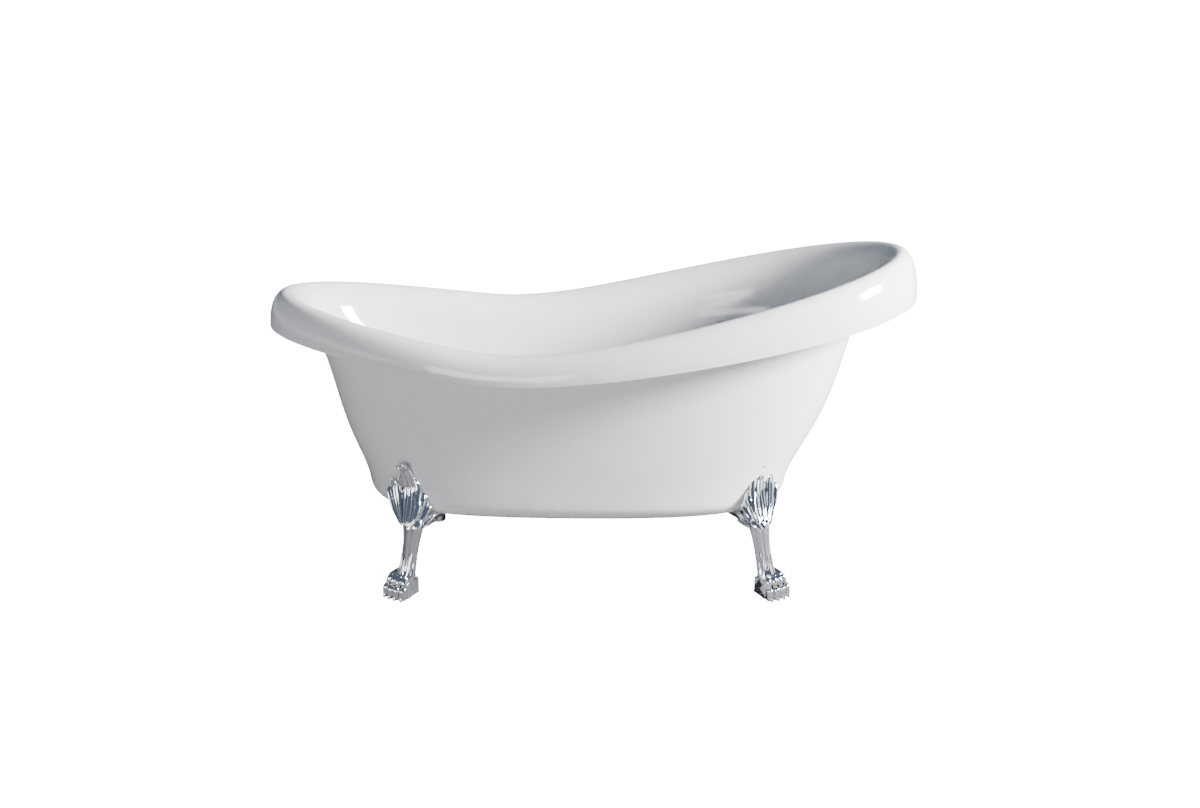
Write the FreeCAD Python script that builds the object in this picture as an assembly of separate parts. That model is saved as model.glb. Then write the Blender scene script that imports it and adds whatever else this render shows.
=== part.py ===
"""Single-slipper clawfoot bathtub: a double-walled acrylic tub on four cast claw feet.

+X runs from the low (drain) end to the high (head) end, +Z is up, and the origin is on
the floor under the middle of the rim. Every piece is its own solid, in millimetres.
"""
import FreeCAD, Part
import math
import os
from FreeCAD import Vector

os.makedirs("parts", exist_ok=True)

# --- rim: the rolled edge, seen from above and along its length ---
rim_length = 1550.0
rim_width = 737.0
high_end_height = 800.0
low_end_height = 700.0
saddle_height = 615.0
saddle_x = -190.0
low_end_sweep = 0.16        # small: the rim climbs in a straight line from the saddle
high_end_sweep = 0.24
rim_egg = 0.137             # how much wider the head half is
rim_squareness = 0.064
crest_inset = 42.0          # from the outermost lip in to the top of the roll
lip_drop = 59.0             # crest to lip edge, at the saddle
lip_drop_growth = 0.278     # more drop for each millimetre the rim climbs
shell_wall = 7.0

# --- outer skin: insets from the rim's outline, bottom to top ---
bottom_height = 178.0       # floor to the tub's flat underside
skin_wall = 5.0
bottom_round = 50.0
body_middle_height = 370.0
body_upper_height = 560.0
low_insets = (232.0, 169.0, 120.0)     # at the bottom, middle and upper heights
high_insets = (311.0, 219.0, 153.0)
side_insets = (138.0, 116.0, 95.0)
bottom_egg = 0.03
bottom_squareness = 0.38
skin_top_inset = 92.0
skin_top_drop = 62.0
skin_top_blend = 88.0       # height over which the skin closes in on the roll

# --- basin: the inner shell below the roll ---
floor_height = 215.0
floor_round = 80.0
floor_low_inset = 315.0
floor_high_inset = 370.0
floor_side_inset = 223.0
cavity_low = 22.0           # clear space between the two walls
cavity_high = 12.0
cavity_side = 10.0
cavity_top = 1.0

# --- base board and foot plates, between the two floors ---
board_thickness = 18.0
board_margin = 6.0
plate_size = (62.0, 40.0)
plate_corner = 8.0

# --- feet: one casting, placed four times ---
foot_low_inset = 328.5      # rim's outline to the middle of the paw, low end
foot_high_inset = 351.5
foot_side_inset = 118.5
foot_turn = 30.0            # degrees the foot faces away from square
paw_clearance = 6.0
heel_width = 63.0
heel_back = 35.0
heel_front = 9.0
paw_offset = (5.0, 10.0)    # paw's middle from the levelling screw, forward and sideways
heel_top = 61.0
heel_shoulder = 13.0        # slope round the heel's top
toe_count = 4
toe_pitch = 16.4
toe_radius = 8.7
toe_reach = 23.5
toe_height = 32.0           # centre of the toe's rounded top
outer_toe_setback = 4.0
knuckle_radius = 8.8
knuckle_front = (14.0, 40.0)   # reach and height of the knuckle's two ends
knuckle_rear = (3.0, 53.0)
knuckle_pinch = 0.87        # the knuckles stand closer together than the toes
claw_base = (30.0, 19.0)    # reach and height
claw_radii = (4.2, 2.0)
claw_length = 12.0
claw_slope = 0.4
leg_lean = 38.0             # leg top, set in from the paw's middle
leg_bottom = 34.0
leg_sections = ((0.00, 0.10, 22.0, 20.0), (0.22, 0.34, 21.0, 22.5), (0.38, 0.52, 19.5, 21.5),
                (0.60, 0.72, 19.0, 20.5), (0.83, 0.88, 20.5, 22.5), (1.00, 1.00, 23.5, 26.5),
                (1.20, 1.12, 24.0, 28.0))      # share up the leg, share of lean, radii
flute_angles = (-130.0, -80.0, -27.0, 27.0, 80.0, 130.0)
flute_radius = 5.0
flute_outset = 1.6          # flute axis, out from the leg's surface
flute_shares = (0.36, 0.86)
bracket_sections = ((-20.0, 44.0, 22.0, 19.0), (-10.0, 54.0, 42.0, 26.0), (3.0, 61.0, 49.0, 31.0),
                    (27.0, 69.0, 42.0, 33.0), (52.0, 72.0, 30.0, 31.0),
                    (77.0, 74.0, 18.0, 25.0))  # above the underside, set-back, radii
leaf_height = 142.0         # from the tub's underside up to the leaf's tip
leaf_root_drop = 4.0
leaf_thickness = 15.0
leaf_reach = 112.0          # how far in from the paw the leaf goes
leaf_lean = 21.0            # the tip leans towards the tub's end
leaf_edge = ((0.00, 2.0, 13.0), (0.11, 5.0, 21.0), (0.23, 9.0, 29.0), (0.36, 14.0, 33.0),
             (0.47, 20.0, 35.0), (0.56, 27.0, 37.0), (0.63, 27.0, 30.0), (0.72, 27.0, 31.0),
             (0.78, 24.0, 16.0), (0.90, 22.0, 12.0),
             (0.97, 21.0, 7.5))  # share of the height, the middle's lean, half-width
foot_clearance = 0.6         # between the castings and the curved skin
arm_thickness = 10.0
arm_half_width = 22.0
arm_reach = 200.0
arm_corner = 18.0
stud_reaches = (158.0, 184.0)

# --- fasteners ---
stud_radius = 4.0
stud_length = 48.0
stud_seat = 12.0             # how far a stud screws up into the board
hole_clearance = 0.4
fit_clearance = 0.05
washer_radius = 8.0
washer_thickness = 1.6
nut_flats = 13.0
nut_thickness = 6.5
nut_chamfer = 0.9

# --- levelling screws ---
pad_radius = 16.0
pad_thickness = 3.5
pad_floor = 1.4
pad_edge = 0.8
screw_end_radius = 6.0
screw_radius = 5.0
screw_engagement = 34.0
screw_flats = 15.0
screw_tip_room = 2.0
screw_gap = 0.25

# --- waste at the low end ---
drain_inset = 378.0          # rim's outline to the drain's axis
drain_hole_radius = 26.0
flange_radius = 36.5
flange_thickness = 3.0
barrel_radius = 24.0
barrel_bore = 19.5
barrel_length = 58.0
bar_thickness = 3.0
bar_drop = 24.0
boss_radius = 7.5
boss_length = 12.0
gasket_radius = 35.0
gasket_thickness = 3.0
body_radius = 33.0
body_length = 62.0
inlet_reach = 8.0            # side inlet, out from the waste body
tail_radius = 19.05
tail_wall = 1.4
tail_neck_radius = 18.65      # the part that the nut and the waste body hold
tail_shoulder_gap = 1.0
tail_bottom = 88.0
tail_engagement = 26.0
slip_nut_flats = 56.0
slip_nut_length = 16.0
slip_nut_gap = 0.5
skin_drain_gap = 7.0
board_drain_gap = 16.0

# --- stopper ---
stopper_radius = 30.0
stopper_dome = 7.0
stopper_edge = 3.0
seal_thickness = 2.5
seal_radius = 27.0
post_radius = 4.75
post_length = 34.0

# --- overflow at the low end ---
overflow_height = 535.0
overflow_hole_radius = 24.0
cover_radius = 34.0
cover_depth = 9.0
cover_wall = 1.5
cover_slot_width = 26.0
cover_slot_height = 5.0
overflow_gasket_thickness = 7.5
duct_width = 56.0
duct_depth = 11.0
duct_wall = 1.5
duct_gap = 3.0               # duct to the basin's back
duct_rise = 30.0             # duct top, above the overflow's axis
screw_pitch_radius = 15.0
cover_screw_radius = 2.5
cover_screw_head = 5.0
cover_screw_length = 19.0

# --- bead that bonds the skin to the roll ---
bead_bottom = (62.0, 97.5, 90.5)      # drop, inner inset, outer inset
bead_top = (47.0, 92.0, 86.0)

COLUMNS = 72
half_length = rim_length / 2


def width_peak(egg, square):
    """Widest point of the plan curve, as a share of its half-width."""
    return 1.0 + egg ** 2 / (2.0 * (1.0 - 2.0 * square))


rim_half = rim_width / 2 / width_peak(rim_egg, rim_squareness)


def crest_height(x):
    """Height of the roll's crest at a place along the tub."""
    reach = half_length - crest_inset
    if x < saddle_x:
        run = (saddle_x - x) / (reach + saddle_x)
        rise = low_end_height - saddle_height
        sweep = low_end_sweep
    else:
        run = (x - saddle_x) / (reach - saddle_x)
        rise = high_end_height - saddle_height
        sweep = high_end_sweep
    curve = math.hypot(run, sweep) - sweep
    return saddle_height + rise * curve / (math.hypot(1.0, sweep) - sweep)


def crest_at(angle):
    return crest_height((half_length - crest_inset) * math.cos(angle))


def plan_point(angle, sizes, z):
    """A point of a plan ring: sizes are low end, high end, half-width, egg, squareness."""
    low, high, half, egg, square = sizes
    c = math.cos(angle)
    x = (high - low) / 2 + (high + low) / 2 * c
    y = half * math.sin(angle) * (1.0 + egg * c + square * c * c)
    return Vector(x, y, z)


def rim_sizes(inset):
    return (half_length - inset, half_length - inset, rim_half - inset, rim_egg, rim_squareness)


def curve_through(values, z):
    """The parabola through a size at the bottom, middle and upper heights."""
    heights = (bottom_height, body_middle_height, body_upper_height)
    total = 0.0
    for i, value in enumerate(values):
        weight = 1.0
        for j, height in enumerate(heights):
            if j != i:
                weight *= (z - height) / (heights[i] - height)
        total += value * weight
    return total


def wall_sizes(z):
    """The skin's outside below the blend into the roll."""
    low = half_length - curve_through(low_insets, z)
    high = half_length - curve_through(high_insets, z)
    half = rim_half - curve_through(side_insets, z)
    return low, high, half


def mix(a, b, t):
    return a + (b - a) * t


def skin_sizes(z, crest, offset=0.0):
    """The skin's outside at a height, where the rim above it has this crest."""
    blend_start = crest - skin_top_drop - skin_top_blend
    sizes = wall_sizes(min(z, blend_start))
    if z > blend_start:
        t = (z - blend_start) / skin_top_blend
        top = rim_sizes(skin_top_inset)[:3]
        sizes = [mix(a, b, t) for a, b in zip(sizes, top)]
    share = (z - bottom_height) / (crest - skin_top_drop - bottom_height)
    egg = mix(bottom_egg, rim_egg, share)
    square = mix(bottom_squareness, rim_squareness, share)
    low, high, half = [s + offset for s in sizes]
    return (low, high, half, egg, square)


def basin_sizes(z, crest, offset=0.0):
    """The basin's inside at a height: the skin, less both walls and the cavity."""
    blend_start = crest - skin_top_drop - skin_top_blend
    t = max(0.0, (z - blend_start) / skin_top_blend)
    low, high, half, egg, square = skin_sizes(z, crest)
    walls = skin_wall + shell_wall - offset
    return (low - walls - mix(cavity_low, cavity_top, t),
            high - walls - mix(cavity_high, cavity_top, t),
            half - walls - mix(cavity_side, cavity_top, t), egg, square)


def angles():
    return [2.0 * math.pi * i / COLUMNS for i in range(COLUMNS)]


def closed_poles(points):
    """Control points of the closed uniform cubic that passes through the points."""
    poles = list(points)
    count = len(points)
    for _ in range(40):
        poles = [(points[i] * 6.0 - poles[i - 1] - poles[(i + 1) % count]) * 0.25
                 for i in range(count)]
    return poles


def ring_surface(rows):
    """A smooth surface through closed rings, each a list of COLUMNS points."""
    spans = [0.0]
    for lower, upper in zip(rows, rows[1:]):
        step = sum(a.distanceToPoint(b) for a, b in zip(lower, upper)) / COLUMNS
        spans.append(spans[-1] + step)
    knots = [s / spans[-1] for s in spans]
    columns = []
    for i in range(COLUMNS):
        curve = Part.BSplineCurve()
        if len(rows) == 2:
            curve.buildFromPoles([rows[0][i], rows[1][i]], False, 1)
        else:
            curve.interpolate(Points=[row[i] for row in rows], Parameters=knots)
        columns.append(curve.getPoles())
    pole_rows = [closed_poles([column[j] for column in columns]) for j in range(len(columns[0]))]
    poles = [[row[i] for row in pole_rows] for i in range(COLUMNS)]
    surface = Part.BSplineSurface()
    surface.buildFromPolesMultsKnots(poles, [1] * (COLUMNS + 1), curve.getMultiplicities(),
                                     [float(i) for i in range(COLUMNS + 1)], curve.getKnots(),
                                     True, False, 3, curve.Degree)
    return surface


def end_disc(surface, at_start):
    """The flat face that closes a ring surface at its first or last ring."""
    first, last = surface.getVKnot(1), surface.getVKnot(surface.NbVKnots)
    curve = surface.vIso(first if at_start else last)
    return Part.Face(Part.Wire([curve.toShape()]))


def closed_solid(faces):
    shell = Part.makeShell(faces)
    shell.sewShape()
    solid = Part.makeSolid(shell)
    if solid.Volume < 0:
        solid.reverse()
    return solid


def roll_outer(thickness):
    """Rings of the roll from the lip's edge up to the crest."""
    rows = []
    for degrees in (90, 76, 62, 48, 34, 18, 0):
        phi = math.radians(degrees)
        row = []
        for angle in angles():
            crest = crest_at(angle)
            drop = lip_drop + lip_drop_growth * (crest - saddle_height)
            inset = crest_inset - (crest_inset - thickness) * math.sin(phi)
            fall = thickness + (drop - thickness) * (1.0 - math.cos(phi))
            row.append(plan_point(angle, rim_sizes(inset), crest - fall))
        rows.append(row)
    return rows


def roll_inner(thickness):
    """Rings of the roll from its crest down to where the basin's wall begins."""
    start = skin_top_inset + skin_wall + cavity_top + shell_wall
    width = start - crest_inset
    rows = []
    for share, fall in ((0.25, 0.08), (0.53, 0.29), (0.81, 0.62)):
        slope = math.radians(80.0 * share)
        row = []
        for angle in angles():
            crest = crest_at(angle)
            inset = crest_inset + width * share - thickness * math.sin(slope)
            drop = skin_top_drop * fall + thickness * math.cos(slope)
            row.append(plan_point(angle, rim_sizes(inset), crest - drop))
        rows.append(row)
    return rows


def floor_curve(degrees, crest, thickness):
    """Plan sizes and height on the sweep from the flat floor, 0, to the wall, 90 degrees."""
    phi = math.radians(degrees)
    base = floor_height - thickness
    z = base + (floor_round + thickness) * (1.0 - math.cos(phi))
    flat = (half_length - floor_low_inset, half_length - floor_high_inset,
            rim_half - floor_side_inset)
    wall = basin_sizes(z, crest, thickness)
    sizes = [mix(f, w, math.sin(phi)) for f, w in zip(flat, wall)]
    return (*sizes, wall[3], wall[4]), z


def basin_rows(thickness):
    """Rings of the basin from the wall's top down to the flat floor."""
    rows = []
    wall_foot = floor_height + floor_round
    for drop in (skin_top_drop, skin_top_drop + skin_top_blend / 2, skin_top_drop + skin_top_blend):
        rows.append([plan_point(a, basin_sizes(crest_at(a) - drop, crest_at(a), thickness),
                                crest_at(a) - drop) for a in angles()])
    for share in (0.66, 0.33, 0.0):
        row = []
        for angle in angles():
            crest = crest_at(angle)
            z = mix(wall_foot, crest - skin_top_drop - skin_top_blend, share)
            row.append(plan_point(angle, basin_sizes(z, crest, thickness), z))
        rows.append(row)
    for degrees in (65, 40, 20, 0):
        row = []
        for angle in angles():
            sizes, z = floor_curve(degrees, crest_at(angle), thickness)
            row.append(plan_point(angle, sizes, z))
        rows.append(row)
    return rows


def inner_shell():
    top = ring_surface(roll_outer(0.0) + roll_inner(0.0) + basin_rows(0.0))
    under = ring_surface(roll_outer(shell_wall) + roll_inner(shell_wall) + basin_rows(shell_wall))
    edge = ring_surface([roll_outer(0.0)[0], roll_outer(shell_wall)[0]])
    solid = closed_solid([top.toShape(), under.toShape(), edge.toShape(),
                          end_disc(top, False), end_disc(under, False)])
    drain_tool = drain_cylinder(drain_hole_radius, floor_height - 2 * shell_wall,
                                floor_height + shell_wall)
    hole_tool = overflow_cylinder(overflow_hole_radius, -3 * shell_wall, 2 * shell_wall)
    return solid.cut([drain_tool, hole_tool])


def belly_rows(offset):
    """Rings of the tub's rounded underside, grown by an offset."""
    rows = []
    base = bottom_height - offset
    for degrees in (0, 25, 50, 72):
        phi = math.radians(degrees)
        z = base + (bottom_round + offset) * (1.0 - math.cos(phi))
        row = []
        for angle in angles():
            wall = skin_sizes(bottom_height + bottom_round, crest_at(angle), offset)
            shrink = (bottom_round + offset) * (1.0 - math.sin(phi))
            sizes = [s - shrink for s in wall[:3]]
            row.append(plan_point(angle, (*sizes, wall[3], wall[4]), z))
        rows.append(row)
    return rows


def skin_rows(offset):
    """Rings of the whole skin, grown by an offset, from its flat bottom to its top edge."""
    rows = belly_rows(offset)
    for share in (0.0, 0.33, 0.66):
        row = []
        for angle in angles():
            crest = crest_at(angle)
            z = mix(bottom_height + bottom_round, crest - skin_top_drop - skin_top_blend, share)
            row.append(plan_point(angle, skin_sizes(z, crest, offset), z))
        rows.append(row)
    for share in (1.0, 0.5, 0.0):
        drop = skin_top_drop + skin_top_blend * share
        rows.append([plan_point(a, skin_sizes(crest_at(a) - drop, crest_at(a), offset),
                                crest_at(a) - drop) for a in angles()])
    return rows


def belly_solid(offset):
    """The lower tub as a block, grown by an offset, for shaping the feet."""
    rows = belly_rows(offset)
    low = bottom_height + bottom_round
    high = bottom_height + 2 * leaf_height
    for share in (0.0, 0.33, 0.66, 1.0):
        z = mix(low, high, share)
        rows.append([plan_point(a, skin_sizes(z, crest_at(a), offset), z) for a in angles()])
    surface = ring_surface(rows)
    return closed_solid([surface.toShape(), end_disc(surface, True), end_disc(surface, False)])


def outer_skin():
    outer_rows = skin_rows(0.0)
    inner_rows = skin_rows(-skin_wall)
    outside = ring_surface(outer_rows)
    inside = ring_surface(inner_rows)
    edge = ring_surface([outer_rows[-1], inner_rows[-1]])
    solid = closed_solid([outside.toShape(), inside.toShape(), edge.toShape(),
                          end_disc(outside, True), end_disc(inside, True)])
    tools = [drain_cylinder(body_radius + skin_drain_gap, bottom_height - skin_wall,
                            bottom_height + 2 * skin_wall)]
    for place in foot_places():
        for reach in stud_reaches:
            tools.append(upright(place, reach, stud_radius + hole_clearance,
                                 bottom_height - skin_wall, bottom_height + 2 * skin_wall))
    return solid.cut(tools)


def rim_bead():
    rows = []
    for drop, inset in ((bead_bottom[0], bead_bottom[1]), (bead_bottom[0], bead_bottom[2]),
                        (bead_top[0], bead_top[2]), (bead_top[0], bead_top[1])):
        rows.append([plan_point(a, rim_sizes(inset), crest_at(a) - drop) for a in angles()])
    faces = [ring_surface([rows[i - 1], rows[i]]).toShape() for i in range(4)]
    return closed_solid(faces)


def drain_axis():
    return -half_length + drain_inset


def drain_cylinder(radius, bottom, top):
    return Part.makeCylinder(radius, top - bottom, Vector(drain_axis(), 0, bottom))


def tube(outer, inner, bottom, top):
    """A pipe on the drain's axis."""
    return drain_cylinder(outer, bottom, top).cut(drain_cylinder(inner, bottom, top))


def base_board():
    """Board under the basin's floor that the feet are screwed to."""
    top = floor_height - shell_wall
    sizes = (half_length - floor_low_inset - board_margin,
             half_length - floor_high_inset - board_margin,
             rim_half - floor_side_inset - board_margin, bottom_egg, bottom_squareness)
    side = ring_surface([[plan_point(a, sizes, z) for a in angles()]
                         for z in (top - board_thickness, top)])
    board = closed_solid([side.toShape(), end_disc(side, True), end_disc(side, False)])
    slot_width = duct_width + 2 * duct_gap
    slot = Part.makeBox(half_length, slot_width, 3 * board_thickness,
                        Vector(drain_axis() - half_length, -slot_width / 2,
                               top - 2 * board_thickness))
    tools = [drain_cylinder(body_radius + board_drain_gap, top - 2 * board_thickness,
                            top + board_thickness), slot]
    for place in foot_places():
        for reach in stud_reaches:
            tools.append(upright(place, reach, stud_radius + fit_clearance,
                                 top - 2 * board_thickness, plate_top() + stud_seat))
    return board.cut(tools)


def plate_top():
    return floor_height - shell_wall - board_thickness


def foot_places():
    """Paw centre, the way it faces in degrees, and which side its leaf leans to."""
    side = rim_width / 2 - foot_side_inset
    low = -half_length + foot_low_inset
    high = half_length - foot_high_inset
    return [("front_low", low, -side, 270.0 - foot_turn, -1.0),
            ("front_high", high, -side, 270.0 + foot_turn, 1.0),
            ("back_low", low, side, 90.0 + foot_turn, 1.0),
            ("back_high", high, side, 90.0 - foot_turn, -1.0)]


def place_shape(shape, place):
    """Put a shape made with its paw at the origin, facing +X, at one corner."""
    moved = shape.copy()
    moved.rotate(Vector(0, 0, 0), Vector(0, 0, 1), place[3])
    moved.translate(Vector(place[1], place[2], 0))
    return moved


def upright(place, reach, radius, bottom, top):
    """A vertical cylinder, this far in from the paw along the foot."""
    return place_shape(Part.makeCylinder(radius, top - bottom, Vector(-reach, 0, bottom)), place)


def hexagon(flats, height, bottom, x=0.0, y=0.0):
    radius = flats / math.sqrt(3.0)
    points = [Vector(x + radius * math.cos(math.radians(60 * i)),
                     y + radius * math.sin(math.radians(60 * i)), bottom) for i in range(7)]
    return Part.Face(Part.makePolygon(points)).extrude(Vector(0, 0, height))


def foot_plate(place):
    """Steel plate between the skin and the board that spreads the foot's load."""
    length, width = plate_size
    thickness = plate_top() - bottom_height - skin_wall
    middle = sum(stud_reaches) / 2
    plate = Part.makeBox(length, width, thickness,
                         Vector(-middle - length / 2, -width / 2, bottom_height + skin_wall))
    corners = [e for e in plate.Edges if abs(e.tangentAt(e.FirstParameter).z) > 0.5]
    plate = place_shape(plate.makeFillet(plate_corner, corners), place)
    holes = [upright(place, reach, stud_radius + hole_clearance, bottom_height,
                     plate_top() + 1) for reach in stud_reaches]
    return plate.cut(holes)


def ellipse_wire(radii, x, z):
    along, across = radii
    if along >= across:
        ellipse = Part.Ellipse(Vector(x, 0, z), along, across)
    else:
        ellipse = Part.Ellipse(Vector(x, across, z), Vector(x + along, 0, z), Vector(x, 0, z))
    return Part.Wire([ellipse.toShape()])


def capsule(start, end, radius):
    """A round bar with ball ends, as one turned solid."""
    span = end - start
    tip = Vector(0, 0, span.Length)
    side = Vector(radius, 0, 0)
    turn = radius * math.sqrt(0.5)
    edges = [Part.Arc(Vector(0, 0, -radius), Vector(turn, 0, -turn), side).toShape(),
             Part.makeLine(side, side + tip),
             Part.Arc(side + tip, Vector(turn, 0, turn) + tip, Vector(0, 0, radius) + tip).toShape(),
             Part.makeLine(Vector(0, 0, radius) + tip, Vector(0, 0, -radius))]
    bar = Part.Face(Part.Wire(edges)).revolve(Vector(0, 0, 0), Vector(0, 0, 1), 360)
    turned = FreeCAD.Rotation(Vector(0, 0, 1), span)
    bar.Placement = FreeCAD.Placement(start, turned)
    return bar


def toe(y):
    """One toe: a rounded column, its knuckle and its claw."""
    share = abs(y) / (toe_pitch * (toe_count - 1) / 2)
    back = outer_toe_setback * share * share
    column = capsule(Vector(toe_reach - back, y, 0), Vector(toe_reach - back, y, toe_height),
                     toe_radius)
    pinched = y * knuckle_pinch
    knuckle = capsule(Vector(knuckle_rear[0] - back / 2, pinched, knuckle_rear[1]),
                      Vector(knuckle_front[0] - back / 2, pinched, knuckle_front[1]),
                      knuckle_radius)
    claw = Part.makeCone(claw_radii[0], claw_radii[1], claw_length,
                         Vector(claw_base[0] - back, y, claw_base[1]), Vector(claw_slope, 0, -1))
    return column.multiFuse([knuckle, claw])


def paw():
    """Heel block with sloping shoulders, and four toes in front of it."""
    heel = Part.makeBox(heel_back + heel_front, heel_width, heel_top - paw_clearance,
                        Vector(-heel_back, -heel_width / 2, paw_clearance))
    shoulders = [e for e in heel.Edges if e.CenterOfMass.z > heel_top - fit_clearance]
    heel = heel.makeChamfer(heel_shoulder, shoulders)
    middle = (toe_count - 1) / 2
    block = heel.multiFuse([toe(toe_pitch * (i - middle)) for i in range(toe_count)])
    size = arm_reach
    below = Part.makeBox(2 * size, 2 * size, size, Vector(-size, -size, paw_clearance - size))
    return block.cut(below)


def leg_section(share):
    """Height, set-back and radii of the leg at a share of its height."""
    height = bottom_height - arm_thickness - leg_bottom
    for low, high in zip(leg_sections, leg_sections[1:]):
        if share <= high[0]:
            part = (share - low[0]) / (high[0] - low[0])
            lean, along, across = [mix(a, b, part) for a, b in zip(low[1:], high[1:])]
            return leg_bottom + height * share, leg_lean * lean, (along, across)
    raise ValueError("above the leg")


def leg():
    """Fluted leg, leaning in from the paw to the bracket."""
    wires = []
    for section in leg_sections:
        z, back, radii = leg_section(section[0])
        wires.append(ellipse_wire(radii, -back, z))
    flutes = []
    for angle in flute_angles:
        ends = []
        for share in flute_shares:
            z, back, radii = leg_section(share)
            ends.append(Vector((radii[0] + flute_outset) * math.cos(math.radians(angle)) - back,
                               (radii[1] + flute_outset) * math.sin(math.radians(angle)), z))
        flutes.append(capsule(ends[0], ends[1], flute_radius))
    return Part.makeLoft(wires, True).cut(flutes)


def bracket():
    """Fan that carries the leg's top out to the tub."""
    wires = []
    for rise, back, along, across in bracket_sections:
        wires.append(ellipse_wire((along, across), -back, bottom_height + rise))
    return Part.makeLoft(wires, True)


def leaf_outline(lean_side):
    """Lobes up each edge of the leaf to its tip, in the plane across the foot."""
    root = bottom_height - leaf_root_drop
    tip = bottom_height + leaf_height
    sides = []
    for side in (-1, 1):
        edge = [Vector(0, lean_side * lean + side * width, mix(root, tip, share))
                for share, lean, width in leaf_edge]
        sides.append(edge + [Vector(0, lean_side * leaf_lean, tip)])
    edges = []
    for points in sides:
        curve = Part.BSplineCurve()
        curve.interpolate(Points=points)
        edges.append(curve.toShape())
    edges.append(Part.makeLine(sides[0][0], sides[1][0]))
    return Part.Face(Part.Wire(Part.__sortEdges__(edges)))


def foot(place, skin_gap, leaf_front):
    """One claw foot, shaped to the tub's skin where it meets it."""
    leaf = leaf_outline(place[4]).extrude(Vector(-leg_lean - leaf_reach, 0, 0))
    leaf.translate(Vector(leg_lean, 0, 0))
    leaf = place_shape(leaf, place).common(leaf_front)
    arm = Part.makeBox(arm_reach - leg_lean, 2 * arm_half_width, arm_thickness,
                       Vector(-arm_reach, -arm_half_width, bottom_height - arm_thickness))
    ends = [e for e in arm.Edges if abs(e.tangentAt(e.FirstParameter).z) > 0.5
            and e.CenterOfMass.x < -arm_reach + fit_clearance]
    arm = arm.makeFillet(arm_corner, ends)
    claws = paw()
    claws.translate(Vector(paw_offset[0], place[4] * paw_offset[1], 0))
    body = place_shape(leg().multiFuse([claws, bracket()]), place)
    body = body.fuse(leaf).cut(skin_gap).fuse(place_shape(arm, place))
    holes = [upright(place, reach, stud_radius + hole_clearance, leg_bottom,
                     bottom_height + fit_clearance) for reach in stud_reaches]
    holes.append(upright(place, 0.0, screw_radius + fit_clearance, 0,
                         paw_clearance + screw_engagement + screw_tip_room))
    return body.cut(holes).removeSplitter()


def fastener_group(maker):
    pieces = []
    for place in foot_places():
        for reach in stud_reaches:
            pieces.append(maker(place, reach))
    return Part.makeCompound(pieces)


def foot_studs():
    top = plate_top() + stud_seat
    return fastener_group(lambda place, reach: upright(place, reach, stud_radius,
                                                       top - stud_length, top))


def foot_washers():
    top = bottom_height - arm_thickness

    def washer(place, reach):
        ring = upright(place, reach, washer_radius, top - washer_thickness, top)
        return ring.cut(upright(place, reach, stud_radius + hole_clearance, 0, top + 1))
    return fastener_group(washer)


def foot_nuts():
    top = bottom_height - arm_thickness - washer_thickness

    def nut(place, reach):
        block = hexagon(nut_flats, nut_thickness, top - nut_thickness, -reach)
        cone = Part.makeCone(nut_flats / 2 + nut_thickness, nut_flats / 2 + nut_chamfer / 2,
                             nut_thickness, Vector(-reach, 0, top), Vector(0, 0, -1))
        bore = Part.makeCylinder(stud_radius + fit_clearance, nut_thickness + 2,
                                 Vector(-reach, 0, top - nut_thickness - 1))
        return place_shape(block.common(cone).cut(bore), place)
    return fastener_group(nut)


def leveller_pad(place):
    pad = Part.makeCylinder(pad_radius, pad_thickness)
    pad = pad.makeChamfer(pad_edge, [pad.Edges[0]])
    pocket = Part.makeCylinder(screw_end_radius + fit_clearance, pad_thickness,
                               Vector(0, 0, pad_floor))
    return place_shape(pad.cut(pocket), place)


def leveller_screw(place):
    seat = pad_floor + fit_clearance
    collar = pad_thickness + screw_gap
    head = hexagon(screw_flats, paw_clearance - screw_gap - collar, collar)
    end = Part.makeCylinder(screw_end_radius, collar - seat, Vector(0, 0, seat))
    stem = Part.makeCylinder(screw_radius, paw_clearance + screw_engagement - collar,
                             Vector(0, 0, collar))
    return place_shape(head.multiFuse([end, stem]), place)


def drain_flange():
    """Waste strainer: a dished flange, a barrel, and a boss on a cross of bars."""
    lip = floor_height + flange_thickness
    disc = drain_cylinder(flange_radius, floor_height, lip)
    disc = disc.makeChamfer(flange_thickness * 0.6, [e for e in disc.Edges
                                                     if abs(e.CenterOfMass.z - lip) < 0.1])
    barrel = drain_cylinder(barrel_radius, lip - barrel_length, floor_height + 1)
    bore = drain_cylinder(barrel_bore, lip - barrel_length - 1, lip + 1)
    dish = Part.makeCone(barrel_bore, flange_radius - 4.0, flange_thickness,
                         Vector(drain_axis(), 0, floor_height + 0.8))
    ring = disc.fuse(barrel).cut([bore, dish])
    bars = []
    for size in ((2 * barrel_bore + 2, bar_thickness), (bar_thickness, 2 * barrel_bore + 2)):
        bars.append(Part.makeBox(size[0], size[1], boss_length / 2,
                                 Vector(drain_axis() - size[0] / 2, -size[1] / 2,
                                        lip - bar_drop - boss_length / 2)))
    boss = drain_cylinder(boss_radius, lip - bar_drop - boss_length, lip - bar_drop)
    hole = drain_cylinder(post_radius + fit_clearance, lip - bar_drop - boss_length - 1, lip)
    return ring.multiFuse(bars + [boss]).cut(hole)


def drain_gasket():
    top = floor_height - shell_wall
    return tube(gasket_radius, barrel_radius + hole_clearance, top - gasket_thickness, top)


def drain_top():
    return floor_height - shell_wall - gasket_thickness


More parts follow.
